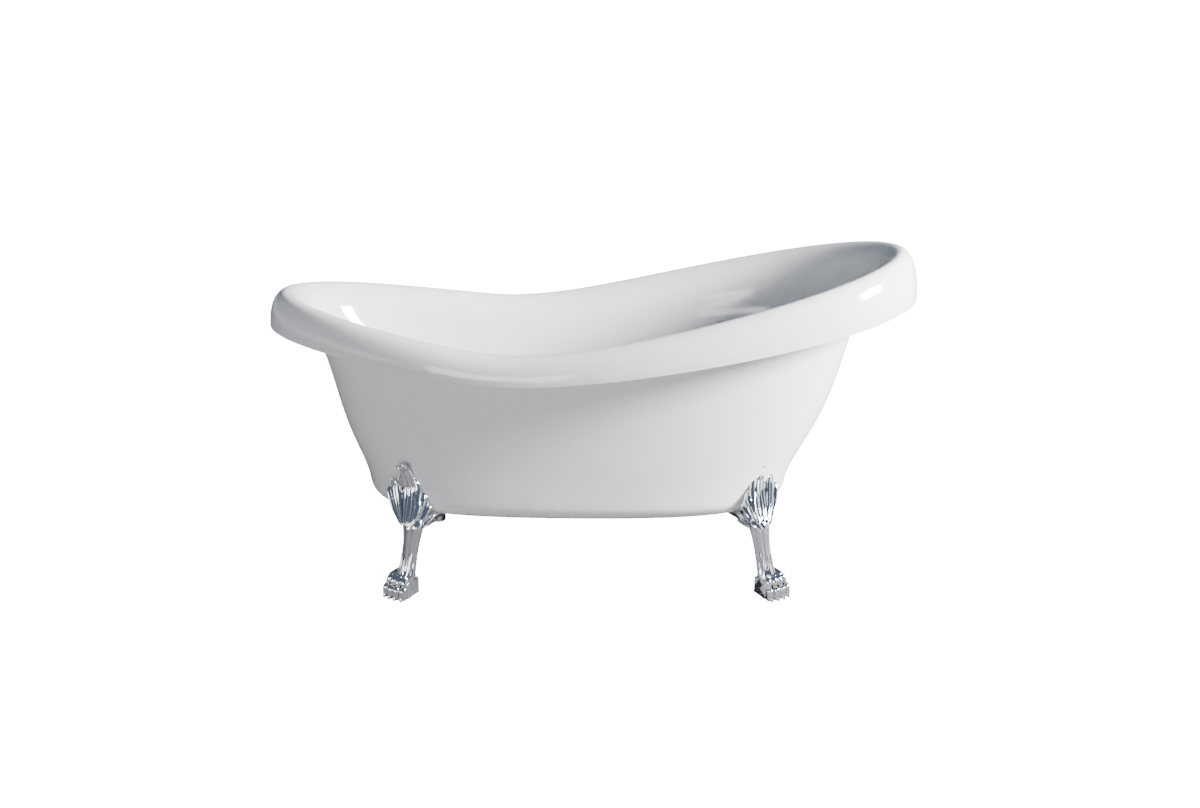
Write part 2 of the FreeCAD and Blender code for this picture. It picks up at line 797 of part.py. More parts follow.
def drain_body():
    """Waste elbow under the floor, with the duct's side inlet and the outlet socket."""
    top = drain_top()
    bottom = top - body_length
    shell = drain_cylinder(body_radius, bottom + 12.0, top)
    shell = shell.fuse(drain_cylinder(tail_radius + 6.0, bottom, bottom + 14.0))
    cup = drain_cylinder(barrel_radius + fit_clearance, top - 52.0, top + 1)
    inlet_x = drain_axis() - body_radius - inlet_reach
    duct_top = floor_height - shell_wall - duct_gap
    inlet_outer = Part.makeBox(body_radius + inlet_reach, duct_width, duct_depth,
                               Vector(inlet_x, -duct_width / 2, duct_top - duct_depth))
    outlet = drain_cylinder(tail_neck_radius + fit_clearance, bottom - 1, top - 40.0)
    inlet = Part.makeBox(body_radius + inlet_reach + 1, duct_width - 2 * duct_wall,
                         duct_depth - 2 * duct_wall,
                         Vector(inlet_x - 1, -duct_width / 2 + duct_wall,
                                duct_top - duct_depth + duct_wall))
    gasket_space = drain_cylinder(gasket_radius + hole_clearance, top, floor_height)
    return shell.fuse(inlet_outer.cut(gasket_space)).cut([cup, outlet, inlet])


def slip_nut_bottom():
    return drain_top() - body_length - slip_nut_length - slip_nut_gap


def slip_nut():
    bottom = slip_nut_bottom()
    block = hexagon(slip_nut_flats, slip_nut_length, bottom, drain_axis())
    return block.cut(drain_cylinder(tail_neck_radius + fit_clearance, bottom - 1,
                                    bottom + slip_nut_length + 1))


def tailpiece():
    """Tube with a thinner neck where the slip nut and the waste body hold it."""
    top = drain_top() - body_length + tail_engagement
    shoulder = slip_nut_bottom() - tail_shoulder_gap
    outside = drain_cylinder(tail_neck_radius, tail_bottom, top)
    outside = outside.fuse(drain_cylinder(tail_radius, tail_bottom, shoulder))
    return outside.cut(drain_cylinder(tail_radius - tail_wall, tail_bottom - 1, top + 1))


def stopper_base():
    return floor_height + flange_thickness + 0.3


def stopper_cap():
    base = stopper_base() + seal_thickness
    disc = drain_cylinder(stopper_radius, base, base + stopper_edge)
    dome_radius = (stopper_radius ** 2 + stopper_dome ** 2) / (2 * stopper_dome)
    ball = Part.makeSphere(dome_radius, Vector(drain_axis(), 0,
                                               base + stopper_edge + stopper_dome - dome_radius))
    dome = ball.common(drain_cylinder(stopper_radius, base + stopper_edge - 0.01,
                                      base + stopper_edge + stopper_dome + 1))
    return disc.fuse(dome).cut(drain_cylinder(post_radius, base - 1, base + stopper_edge))


def stopper_seal():
    base = stopper_base()
    return tube(seal_radius, post_radius + 3.0, base, base + seal_thickness)


def stopper_post():
    top = stopper_base() + seal_thickness + stopper_edge
    return drain_cylinder(post_radius, top - post_length, top)


def overflow_seat():
    """Where the overflow's axis meets the basin's wall, and that wall's lean."""
    crest = crest_at(math.pi)
    step = 10.0
    here = -basin_sizes(overflow_height, crest)[0]
    above = -basin_sizes(overflow_height + step, crest)[0]
    lean = math.degrees(math.atan2(here - above, step))
    return Vector(here, 0, overflow_height), lean


def place_overflow(shape):
    """Turn a shape made along +Z, out of the wall, onto the overflow's axis."""
    seat, lean = overflow_seat()
    moved = shape.copy()
    moved.rotate(Vector(0, 0, 0), Vector(0, 1, 0), 90.0 - lean)
    moved.translate(seat)
    return moved


def overflow_cylinder(radius, bottom, top):
    return place_overflow(Part.makeCylinder(radius, top - bottom, Vector(0, 0, bottom)))


def overflow_cover():
    """Domed cap with a slot at its lower edge, held by two screws."""
    base = overflow_gasket_thickness
    outer = Part.makeCylinder(cover_radius, cover_depth, Vector(0, 0, base))
    rim = [e for e in outer.Edges if abs(e.CenterOfMass.z - base - cover_depth) < 0.1]
    outer = outer.makeFillet(cover_depth * 0.7, rim)
    inner = Part.makeCylinder(cover_radius - cover_wall, cover_depth - cover_wall,
                              Vector(0, 0, base - 0.01))
    edges = [e for e in inner.Edges if abs(e.CenterOfMass.z - base - cover_depth) < 2.0]
    inner = inner.makeFillet(cover_depth * 0.6, edges)
    slot = Part.makeBox(cover_radius, cover_slot_width, cover_slot_height,
                        Vector(cover_radius / 2, -cover_slot_width / 2, base - 1))
    tools = [inner, slot]
    for side in (-1, 1):
        tools.append(Part.makeCylinder(cover_screw_radius + hole_clearance, 4 * cover_depth,
                                       Vector(0, side * screw_pitch_radius, 0)))
    return place_overflow(outer.cut(tools))


def overflow_gasket(shell):
    ring = Part.makeCylinder(cover_radius - 1.0, overflow_gasket_thickness + 1.0,
                             Vector(0, 0, -1.0))
    bore = Part.makeCylinder(overflow_hole_radius, 3 * overflow_gasket_thickness,
                             Vector(0, 0, -overflow_gasket_thickness))
    cut_ring = place_overflow(ring.cut(bore)).cut(shell)
    return max(cut_ring.Solids, key=lambda solid: solid.Volume)


def overflow_screws():
    top = overflow_gasket_thickness + cover_depth
    screws = []
    for side in (-1, 1):
        y = side * screw_pitch_radius
        shank = Part.makeCylinder(cover_screw_radius, cover_screw_length,
                                  Vector(0, y, top - cover_screw_length))
        head = Part.makeCylinder(cover_screw_head, 2.0, Vector(0, y, top))
        screws.append(place_overflow(shank.fuse(head)))
    return Part.makeCompound(screws)


def duct_line(gap, end_x):
    """The duct's side towards the basin, from its top down and in under the floor."""
    crest = crest_at(math.pi)
    top = overflow_height + duct_rise
    points = []
    for share in (0.0, 0.34, 0.67, 1.0):
        z = mix(top, floor_height + floor_round, share)
        points.append((-basin_sizes(z, crest, shell_wall)[0] - gap, z))
    for degrees in (60, 30, 0):
        sizes, z = floor_curve(degrees, crest, shell_wall)
        lean = math.radians(90 - degrees)
        points.append((-sizes[0] - gap * math.cos(lean), z - gap * math.sin(lean)))
    points.append((end_x, floor_height - shell_wall - gap))
    return points


def ribbon(near, far, width):
    """A flat channel between two side lines, as wide as said."""
    outline = near + far[::-1]
    points = [Vector(x, -width / 2, z) for x, z in outline]
    face = Part.Face(Part.makePolygon(points + points[:1]))
    return face.extrude(Vector(0, width, 0))


def overflow_duct():
    """Flat plastic channel between the walls, from the overflow to the waste."""
    end_x = drain_axis() - body_radius - inlet_reach
    outer = ribbon(duct_line(duct_gap, end_x), duct_line(duct_gap + duct_depth, end_x), duct_width)
    inner = ribbon(duct_line(duct_gap + duct_wall, end_x + 1),
                   duct_line(duct_gap + duct_depth - duct_wall, end_x + 1),
                   duct_width - 2 * duct_wall)
    top = overflow_height + duct_rise - duct_wall
    cap = Part.makeBox(half_length, duct_width, 2 * duct_wall,
                       Vector(-half_length, -duct_width / 2, top))
    inlet = overflow_cylinder(overflow_hole_radius, -shell_wall - duct_gap - duct_wall - 2.0, 0)
    return outer.cut(inner.cut(cap)).cut(inlet)


def overflow_socket():
    """Collar through the wall that joins the overflow's hole to the duct."""
    outer = overflow_hole_radius - fit_clearance
    ring = overflow_cylinder(outer, -shell_wall - duct_gap - duct_wall, -0.5)
    ring = ring.cut(overflow_cylinder(outer - 3.0, -60, 5))
    return ring


def export(name, shape):
    shape.exportStep("parts/" + name + ".step")


def main():
    shell = inner_shell()
    export("inner_shell", shell)
    export("outer_skin", outer_skin())
    export("rim_bead", rim_bead())
    export("base_board", base_board())
    skin_gap = belly_solid(foot_clearance)
    leaf_front = belly_solid(leaf_thickness)
    for place in foot_places():
        name = place[0]
        export("claw_foot_" + name, foot(place, skin_gap, leaf_front))
        export("foot_plate_" + name, foot_plate(place))
        export("leveller_pad_" + name, leveller_pad(place))
        export("leveller_screw_" + name, leveller_screw(place))
    export("foot_studs", foot_studs())
    export("foot_washers", foot_washers())
    export("foot_nuts", foot_nuts())
    export("drain_flange", drain_flange())
    export("drain_gasket", drain_gasket())
    export("drain_body", drain_body())
    export("drain_slip_nut", slip_nut())
    export("drain_tailpiece", tailpiece())
    export("stopper_cap", stopper_cap())
    export("stopper_seal", stopper_seal())
    export("stopper_post", stopper_post())
    export("overflow_cover", overflow_cover())
    export("overflow_gasket", overflow_gasket(shell))
    export("overflow_screws", overflow_screws())
    export("overflow_socket", overflow_socket())
    export("overflow_duct", overflow_duct())


main()
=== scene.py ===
import bpy
import bmesh
import math
from mathutils import Matrix, Vector


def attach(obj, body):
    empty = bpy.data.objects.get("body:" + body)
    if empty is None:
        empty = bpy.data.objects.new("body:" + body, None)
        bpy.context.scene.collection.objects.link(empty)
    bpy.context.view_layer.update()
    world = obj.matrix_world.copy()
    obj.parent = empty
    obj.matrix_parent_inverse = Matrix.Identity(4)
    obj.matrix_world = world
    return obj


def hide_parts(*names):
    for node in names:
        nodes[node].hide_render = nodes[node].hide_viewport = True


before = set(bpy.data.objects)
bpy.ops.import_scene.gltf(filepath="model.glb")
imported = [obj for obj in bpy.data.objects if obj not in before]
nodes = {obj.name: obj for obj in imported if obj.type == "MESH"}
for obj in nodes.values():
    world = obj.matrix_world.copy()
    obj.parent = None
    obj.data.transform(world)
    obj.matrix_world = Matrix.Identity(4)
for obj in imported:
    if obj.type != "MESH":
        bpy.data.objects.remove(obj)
bpy.context.view_layer.update()
bpy.ops.object.select_all(action="DESELECT")

# --- Camera ---
# It stands level with the tub's middle and looks a little down on the near side. The
# photograph is 1200 pixels wide, and its lens has a focal length of 1056 of them.
PHOTO_WIDTH, FOCAL_PIXELS = 1200, 1055.9
camera_data = bpy.data.cameras.new("camera")
camera_data.sensor_width = 36.0
camera_data.lens = camera_data.sensor_width * FOCAL_PIXELS / PHOTO_WIDTH
camera = bpy.data.objects.new("camera", camera_data)
camera.location = (0.021, -2.500, 1.2443)
camera.rotation_euler = (math.radians(90 - 18.60), 0, 0)
bpy.context.scene.collection.objects.link(camera)
bpy.context.scene.camera = camera

# --- Studio ---
# The tub was lit by a large softbox above the head end and cut out on plain white. So the
# floor and surround are pure white where they are seen, and a grey room with bright panels
# and dark gaps where they light the tub and show in its chrome.


def wire(tree, kind, sockets=None, **settings):
    """Add a shader node, set its properties, and fill its sockets with values or links."""
    box = tree.nodes.new("ShaderNode" + kind)
    for key, value in settings.items():
        setattr(box, key, value)
    for key, value in (sockets or {}).items():
        if isinstance(value, bpy.types.NodeSocket):
            tree.links.new(value, box.inputs[key])
        else:
            box.inputs[key].default_value = value
    return box


def ramp_over(tree, share, stops):
    """A colour ramp in greys: each stop is a place from 0 to 1 and a brightness."""
    ramp = wire(tree, "ValToRGB", {"Fac": share})
    points = ramp.color_ramp.elements
    while len(points) < len(stops):
        points.new(0.5)
    for point, (place, grey) in zip(points, stops):
        point.position = place
        point.color = (grey, grey, grey, 1)
    return ramp.outputs["Color"]


SEEN_WHITE = 20.0
ROOM_LIGHT = 3.0

surround = bpy.data.worlds.new("surround")
surround.use_nodes = True
tree = surround.node_tree
tree.nodes.clear()
way = wire(tree, "SeparateXYZ", {0: wire(tree, "TexCoord").outputs["Generated"]})
height = wire(tree, "MapRange", {"Value": way.outputs["Z"], "From Min": -0.1, "From Max": 1.0})
compass = wire(tree, "Math", {0: way.outputs["Y"], 1: way.outputs["X"]}, operation="ARCTAN2")
turned = wire(tree, "MapRange", {"Value": compass.outputs[0], "From Min": -math.pi,
                                 "From Max": math.pi})
walls = ramp_over(tree, turned.outputs[0], ((0.0, 0.5), (0.08, 0.9), (0.12, 1.3), (0.15, 0.05),
                                            (0.21, 0.05), (0.24, 1.3), (0.30, 1.3), (0.33, 0.1),
                                            (0.42, 0.06), (0.45, 1.6), (0.58, 1.6), (0.63, 0.2),
                                            (0.8, 0.1), (1.0, 0.5)))
ceiling = ramp_over(tree, height.outputs[0], ((0.0, 0.0), (0.14, 0.0), (0.25, 1.0)))
room = wire(tree, "Mix", {0: ceiling, 6: walls, 7: (0.04, 0.05, 0.07, 1)}, data_type="RGBA")
lit = wire(tree, "Background", {"Color": room.outputs[2], "Strength": ROOM_LIGHT})
seen = wire(tree, "Background", {"Color": (1, 1, 1, 1), "Strength": SEEN_WHITE})
choice = wire(tree, "MixShader", {0: wire(tree, "LightPath").outputs["Is Camera Ray"],
                                  1: lit.outputs[0], 2: seen.outputs[0]})
tree.links.new(choice.outputs[0], wire(tree, "OutputWorld").inputs["Surface"])
bpy.context.scene.world = surround

bpy.ops.mesh.primitive_circle_add(vertices=64, radius=14.0, fill_type="NGON", location=(0, 0, 0))
floor = bpy.context.object
floor.name = "studio_floor"
floor_paint = bpy.data.materials.new("studio_floor")
floor_paint.use_nodes = True
tree = floor_paint.node_tree
tree.nodes.clear()
paint = wire(tree, "BsdfDiffuse", {"Color": (0.12, 0.12, 0.125, 1)})
seen = wire(tree, "Emission", {"Color": (1, 1, 1, 1), "Strength": SEEN_WHITE})
choice = wire(tree, "MixShader", {0: wire(tree, "LightPath").outputs["Is Camera Ray"],
                                  1: paint.outputs[0], 2: seen.outputs[0]})
tree.links.new(choice.outputs[0], wire(tree, "OutputMaterial").inputs["Surface"])
floor.data.materials.append(floor_paint)


def soft_light(name, place, aim, size, watts):
    """A softbox at a place, facing a point."""
    lamp_data = bpy.data.lights.new(name, "AREA")
    lamp_data.shape = "RECTANGLE"
    lamp_data.size, lamp_data.size_y = size
    lamp_data.energy = watts
    lamp = bpy.data.objects.new(name, lamp_data)
    lamp.location = place
    lamp.rotation_euler = (Vector(aim) - Vector(place)).to_track_quat("-Z", "Y").to_euler()
    bpy.context.scene.collection.objects.link(lamp)


soft_light("head_end_softbox", (3.45, -0.95, 2.10), (0.0, 0.0, 0.4), (0.8, 0.8), 1350)
soft_light("front_softbox", (-1.6, -3.4, 0.9), (-0.2, 0.0, 0.4), (1.6, 1.0), 60)

# --- Basin and rim ---
# One sheet of white sanitary acrylic, vacuum formed with its rolled rim and backed with
# resin. Cast acrylic is glossy, with a faint unevenness that only its reflections show.


def group_of(name, inputs, outputs):
    """A new node group with named inputs (and their first values) and named outputs."""
    group = bpy.data.node_groups.new(name, "ShaderNodeTree")
    for label, value in inputs.items():
        kind = "NodeSocketVector" if label == "Vector" else "NodeSocketFloat"
        socket = group.interface.new_socket(label, in_out="INPUT", socket_type=kind)
        if value is not None:
            socket.default_value = value
    for label in outputs:
        group.interface.new_socket(label, in_out="OUTPUT", socket_type="NodeSocketFloat")
    return group, group.nodes.new("NodeGroupInput"), group.nodes.new("NodeGroupOutput")


# Slow waves in a moulded or cast surface, and soft patches of handling over it.
wander, way_in, way_out = group_of("surface_wander", {"Vector": None, "Scale": 10.0},
                                   ("Waves", "Patches"))
waves = wire(wander, "TexNoise", {"Vector": way_in.outputs["Vector"],
                                  "Scale": way_in.outputs["Scale"], "Detail": 2.0})
triple = wire(wander, "Math", {0: way_in.outputs["Scale"], 1: 0.37}, operation="MULTIPLY")
patches = wire(wander, "TexNoise", {"Vector": way_in.outputs["Vector"], "Scale": triple.outputs[0],
                                    "Detail": 5.0, "Roughness": 0.62, "Distortion": 0.4})
spread = wire(wander, "MapRange", {"Value": patches.outputs["Fac"], "From Min": 0.35,
                                   "From Max": 0.68})
wander.links.new(waves.outputs["Fac"], way_out.inputs["Waves"])
wander.links.new(spread.outputs[0], way_out.inputs["Patches"])

# Fine grain: a crowd of small cells and the specks between them.
grain, way_in, way_out = group_of("fine_grain", {"Vector": None, "Scale": 300.0},
                                  ("Grain", "Specks"))
cells = wire(grain, "TexVoronoi", {"Vector": way_in.outputs["Vector"],
                                   "Scale": way_in.outputs["Scale"]})
fine = wire(grain, "TexNoise", {"Vector": way_in.outputs["Vector"],
                                "Scale": way_in.outputs["Scale"], "Detail": 6.0})
specks = wire(grain, "MapRange", {"Value": cells.outputs["Distance"], "From Min": 0.55,
                                  "From Max": 0.85})
grain.links.new(fine.outputs["Fac"], way_out.inputs["Grain"])
grain.links.new(specks.outputs[0], way_out.inputs["Specks"])

# Dust that settles on what faces up, in patches.
dust, way_in, way_out = group_of("settled_dust", {"Vector": None, "Amount": 0.3}, ("Dust",))
facing = wire(dust, "SeparateXYZ", {0: wire(dust, "NewGeometry").outputs["Normal"]})
upward = wire(dust, "MapRange", {"Value": facing.outputs["Z"], "From Min": 0.2, "From Max": 1.0})
cloud = wire(dust, "TexNoise", {"Vector": way_in.outputs["Vector"], "Scale": 45.0, "Detail": 7.0})
uneven = wire(dust, "Math", {0: upward.outputs[0], 1: cloud.outputs["Fac"]}, operation="MULTIPLY")
scaled = wire(dust, "Math", {0: uneven.outputs[0], 1: way_in.outputs["Amount"]},
              operation="MULTIPLY")
dust.links.new(scaled.outputs[0], way_out.inputs["Dust"])


def effect(tree, group, **values):
    """Place a node group in a material, on the object's own coordinates."""
    box = tree.nodes.new("ShaderNodeGroup")
    box.node_tree = group
    tree.links.new(wire(tree, "TexCoord").outputs["Object"], box.inputs["Vector"])
    for label, value in values.items():
        box.inputs[label].default_value = value
    return box


def blended(tree, share, first, second):
    """A colour between two colours, or a colour and a socket, by a mask."""
    first = first if isinstance(first, bpy.types.NodeSocket) else (*first, 1)
    blend = wire(tree, "Mix", {0: share, 6: first, 7: (*second, 1)}, data_type="RGBA")
    return blend.outputs[2]


def between(tree, share, low, high):
    """A value between two values by a mask."""
    return wire(tree, "MapRange", {"Value": share, "To Min": low, "To Max": high}).outputs[0]


def raised(tree, height, depth, strength=1.0):
    """A normal from a height of this depth in metres."""
    return wire(tree, "Bump", {"Height": height, "Distance": depth, "Strength": strength}).outputs[0]


def new_finish(name, metallic=0.0, ior=1.5):
    """A material with one principled shader; its caller wires colour, roughness and relief."""
    material = bpy.data.materials.new(name)
    material.use_nodes = True
    shader = material.node_tree.nodes["Principled BSDF"]
    shader.inputs["Metallic"].default_value = metallic
    shader.inputs["IOR"].default_value = ior
    return material, material.node_tree, shader


def feed(tree, shader, color, roughness, normal):
    """Wire a finish's colour, roughness and normal into its shader."""
    tree.links.new(color, shader.inputs["Base Color"])
    tree.links.new(roughness, shader.inputs["Roughness"])
    tree.links.new(normal, shader.inputs["Normal"])


def cast_acrylic(name, white, shade, waviness):
    """Glossy sanitary acrylic with a faint orange peel."""
    material, tree, shader = new_finish(name, ior=1.49)
    peel = effect(tree, wander, Scale=26.0)
    film = effect(tree, dust, Amount=0.10)
    color = blended(tree, peel.outputs["Patches"], white, shade)
    color = blended(tree, film.outputs["Dust"], color, (0.58, 0.58, 0.57))
    feed(tree, shader, color, between(tree, peel.outputs["Patches"], 0.07, 0.13),
         raised(tree, peel.outputs["Waves"], waviness, 0.35))
    return material


# Both acrylic whites are greyed well below white, and the basin's is a step below the skin's: painted
# shade that keeps the inside of the basin darker.
acrylic_basin = cast_acrylic("acrylic_basin", (0.610, 0.618, 0.635), (0.590, 0.600, 0.620), 0.0004)


def alone(piece):
    """Select one object and nothing else."""
    bpy.ops.object.select_all(action="DESELECT")
    piece.select_set(True)
    bpy.context.view_layer.objects.active = piece


def smooth_copy(name, angle, finish):
    """A merged, smooth-shaded copy of a solid, which it stands for in the picture."""
    piece = nodes[name].copy()
    piece.data = nodes[name].data.copy()
    piece.name = name + "_finished"
    piece.parent = None
    bpy.context.scene.collection.objects.link(piece)
    alone(piece)
    bpy.ops.object.mode_set(mode="EDIT")
    bpy.ops.mesh.select_all(action="SELECT")
    bpy.ops.mesh.remove_doubles(threshold=0.00002)
    bpy.ops.object.mode_set(mode="OBJECT")
    bpy.ops.mesh.customdata_custom_splitnormals_clear()
    bpy.ops.object.shade_smooth_by_angle(angle=math.radians(angle))
    piece.data.materials.clear()
    piece.data.materials.append(finish)
    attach(piece, "tub")
    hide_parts(name)
    return piece


smooth_copy("inner_shell", 40, acrylic_basin)

# --- Outer skin ---
# A second acrylic sheet, formed around the basin to hide its back. It is bonded under the
# roll of the rim, and its white is a little lighter than the basin's, which is greyed as painted shade.
acrylic_skin = cast_acrylic("acrylic_skin", (0.640, 0.645, 0.655), (0.620, 0.627, 0.640), 0.0005)
skin = smooth_copy("outer_skin", 40, acrylic_skin)

# --- Foot chrome ---
# The feet are cast in zinc alloy, polished and plated. The plating keeps slow waves from
# the casting, and the polishing leaves it a little duller in patches.
foot_chrome, tree, shader = new_finish("foot_chrome", metallic=1.0)
casting_waves = effect(tree, wander, Scale=38.0)
pits = effect(tree, grain, Scale=700.0)
plated = blended(tree, casting_waves.outputs["Patches"], (0.80, 0.81, 0.835), (0.70, 0.715, 0.75))
feed(tree, shader, blended(tree, pits.outputs["Specks"], plated, (0.62, 0.63, 0.65)),
     between(tree, casting_waves.outputs["Patches"], 0.035, 0.10),
     raised(tree, casting_waves.outputs["Waves"], 0.0010, 0.30))

# --- Claw feet ---
# Each foot is one polished casting: a lion's paw with four toes, a fluted leg, an acanthus
# leaf that lies on the belly, and a bracket under it. The parts are drawn with the paw at
# the origin, facing +X, then melted together, cut to fit the belly and set in their corner.


def carry_out(piece, kind, **settings):
    """Add a modifier to a piece and apply it."""
    modifier = piece.modifiers.new(kind.lower(), kind)
    for key, value in settings.items():
        setattr(modifier, key, value)
    alone(piece)
    bpy.ops.object.modifier_apply(modifier=modifier.name)


def pick(piece, chosen):
    """In edit mode, select the vertices that a test chooses."""
    bpy.ops.mesh.select_all(action="DESELECT")
    mesh = bmesh.from_edit_mesh(piece.data)
    for vertex in mesh.verts:
        vertex.select = chosen(vertex.co)
    mesh.select_flush_mode()
    bmesh.update_edit_mesh(piece.data)


def drawn_bar(stations, sides=16):
    """A closed bar drawn ring by ring; a station is x, y, z, half-depth, half-width in mm."""
    x, y, z, deep, wide = [value / 1000 for value in stations[0]]
    bpy.ops.object.select_all(action="DESELECT")
    bpy.ops.mesh.primitive_circle_add(vertices=sides, radius=wide, fill_type="NGON",
                                      location=(x, y, z))
    bar = bpy.context.object
    bpy.ops.object.transform_apply()
    bpy.ops.object.mode_set(mode="EDIT")
    bpy.ops.mesh.select_all(action="SELECT")
    bpy.ops.transform.resize(value=(deep / wide, 1, 1), center_override=(x, y, z))
    for before, after in zip(stations, stations[1:]):
        step = [(b - a) / 1000 for a, b in zip(before[:3], after[:3])]
        centre = [value / 1000 for value in after[:3]]
        bpy.ops.mesh.extrude_region_move(TRANSFORM_OT_translate={"value": step})
        bpy.ops.transform.resize(value=(after[3] / before[3], after[4] / before[4], 1),
                                 center_override=centre)
    bpy.ops.mesh.select_all(action="SELECT")
    bpy.ops.mesh.normals_make_consistent(inside=False)
    bpy.ops.object.mode_set(mode="OBJECT")
    return bar


def joined(name, parts):
    """Join several objects into one."""
    alone(parts[0])
    for part in parts:
        part.select_set(True)
    bpy.ops.object.join()
    parts[0].name = name
    return parts[0]


# The leg leans back from the paw; its flutes are pressed into the ring of vertices.
LEG_RINGS = ((-1, -3, 30, 22, 26), (-5, -2, 46, 23, 25), (-11, 0, 58, 21.5, 23.5),
             (-16, 0, 72, 20, 22), (-22, 1, 92, 19.3, 21), (-28, 2, 115, 19.3, 21),
             (-34, 3, 138, 20.5, 22.5), (-38, 4, 156, 22.5, 25), (-42, 4, 172, 24, 27),
             (-46, 3, 184, 22, 26), (-50, 3, 194, 16, 20))
LEG_SIDES = 32
leg = drawn_bar([(x, y, z, deep, wide) for x, y, z, deep, wide in LEG_RINGS], LEG_SIDES)
bpy.ops.object.mode_set(mode="EDIT")
for turn, low, high, depth in ((20, 0.070, 0.175, 0.0046), (45, 0.110, 0.160, 0.0040),
                               (68, 0.065, 0.160, 0.0046), (113, 0.065, 0.160, 0.0046),
                               (150, 0.065, 0.145, 0.0040)):
    for side in (-1, 1):
        def in_flute(spot, turn=side * turn, low=low, high=high):
            x, y, z, deep, wide = min(LEG_RINGS, key=lambda ring: abs(ring[2] / 1000 - spot.z))
            across = (spot.y - y / 1000) * deep / wide
            angle = math.degrees(math.atan2(across, spot.x - x / 1000))
            return low <= spot.z <= high and abs(angle - turn) < 180 / LEG_SIDES
        pick(leg, in_flute)
        bpy.ops.transform.shrink_fatten(value=-depth)
bpy.ops.object.mode_set(mode="OBJECT")
carry_out(leg, "SUBSURF", levels=2)

# The heel is a block with a narrower shoulder on it.
bpy.ops.mesh.primitive_cube_add(size=1, location=(-0.008, -0.010, 0.024), scale=(0.044, 0.063, 0.044))
heel = bpy.context.object
bpy.ops.object.transform_apply()
bpy.ops.object.mode_set(mode="EDIT")
bpy.ops.mesh.select_mode(type="VERT")
pick(heel, lambda spot: spot.z > 0.04)
bpy.ops.mesh.select_mode(type="FACE")
bpy.ops.mesh.inset(thickness=0.0025)
bpy.ops.mesh.extrude_region_move(TRANSFORM_OT_translate={"value": (0.002, 0, 0.015)})
bpy.ops.transform.resize(value=(0.9, 0.86, 1), center_override=(-0.006, -0.010, 0.061))
bpy.ops.mesh.extrude_region_move(TRANSFORM_OT_translate={"value": (0, 0, 0.002)})
bpy.ops.transform.resize(value=(0.82, 0.82, 1), center_override=(-0.006, -0.010, 0.063))
bpy.ops.mesh.select_all(action="SELECT")
bpy.ops.mesh.bevel(offset=0.0018, segments=2)
bpy.ops.mesh.select_mode(type="VERT")
bpy.ops.object.mode_set(mode="OBJECT")

# Each toe is a column with a rounded top, a knuckle behind it and a nail in front.
TOE_PITCH = 16.4
PAW_SHIFT = (5, -10)
paw = [leg, heel]
for toe in range(4):
    y = TOE_PITCH * (toe - 1.5)
    back = 4.0 * (toe - 1.5) ** 2 / 2.25
    column = [(22 - back, y, 3, 9.4, 8.6), (23 - back, y, 12, 10.0, 8.9), (23 - back, y, 22, 10.0, 8.9),
              (21 - back, y, 31, 10.6, 8.8), (19 - back, y, 36, 9.6, 8), (17 - back, y, 39, 5, 4.5)]
    knuckle = [(10 - back, y * 0.93, 28, 5, 5), (12 - back, y * 0.92, 37, 10, 8.2),
               (11 - back, y * 0.9, 45, 11.4, 8.6), (8 - back, y * 0.86, 53, 11, 8.2),
               (4 - back, y * 0.8, 59, 8.5, 7), (1 - back, y * 0.75, 63, 3.5, 3.5)]
    nail = [(33 - back, y, 4, 2, 3), (32.4 - back, y, 9, 3, 4.4), (31 - back, y, 14, 3, 4),
            (29 - back, y, 18, 2, 2)]
    for stations in (column, knuckle, nail):
        part = drawn_bar([(x + PAW_SHIFT[0], y + PAW_SHIFT[1], *rest) for x, y, *rest in stations], 12)
        carry_out(part, "SUBSURF", levels=1)
        paw.append(part)
paw = joined("paw", paw)

# The leaf is drawn flat, its back at x = 0, with ribs that fan out from its root. Three
# ribs make its middle finger, which leans sideways and ends in a curl.
LEAF_ROOT = 174
LEAF_LEAN = -21
RIB_SWELL = ((0, 0.45), (0.12, 0.7), (0.3, 0.9), (0.55, 1), (0.78, 1), (0.9, 0.82), (0.97, 0.5),
             (1, 0.15))


def rib(root, tip, top, wide, lift, bow):
    """A rib of the leaf from its root to its tip's y and height, bowed sideways."""
    stations = []
    for share, swell in RIB_SWELL:
        y = root + (tip - root) * share + bow * math.sin(math.pi * share)
        z = LEAF_ROOT + (top - LEAF_ROOT) * share
        stations.append((lift, y, z, wide * 1.5 * swell, wide * swell))
    bar = drawn_bar(stations, 12)
    carry_out(bar, "SUBSURF", levels=1)
    return bar


leaf = [rib(-2, LEAF_LEAN, 318, 5.8, 8.5, 0), rib(-7, LEAF_LEAN - 9, 310, 5.4, 7, -3),
        rib(3, LEAF_LEAN + 9, 309, 5.8, 7, 2),
        rib(-10, -48, 276, 5.2, 6, -6), rib(-13, -56, 282, 5.2, 5.5, -9),
        rib(-15, -66, 258, 6.5, 5, -11),
        rib(7, -12, 274, 6.6, 6.5, 6), rib(10, -4, 283, 6.4, 6.5, 9),
        rib(12, -4, 256, 7.5, 5.5, 13)]
BLADE = ((-2, 175, 11), (-5, 190, 20), (-9, 207, 28), (-14, 226, 32), (-19, 243, 34),
         (-24, 258, 30), (-28, 272, 26), (-26, 284, 15), (-22, 298, 11), (-21, 312, 7))
leaf.append(drawn_bar([(1, y, z, 5, wide) for y, z, wide in BLADE], 24))
bpy.ops.object.select_all(action="DESELECT")
bpy.ops.mesh.primitive_torus_add(major_segments=32, minor_segments=14, major_radius=0.0078,
                                 minor_radius=0.0048, location=(0.0105, LEAF_LEAN / 1000, 0.3145),
                                 rotation=(0, math.radians(60), math.radians(-12)))
leaf.append(bpy.context.object)
bpy.ops.object.transform_apply()
leaf = joined("leaf", leaf)

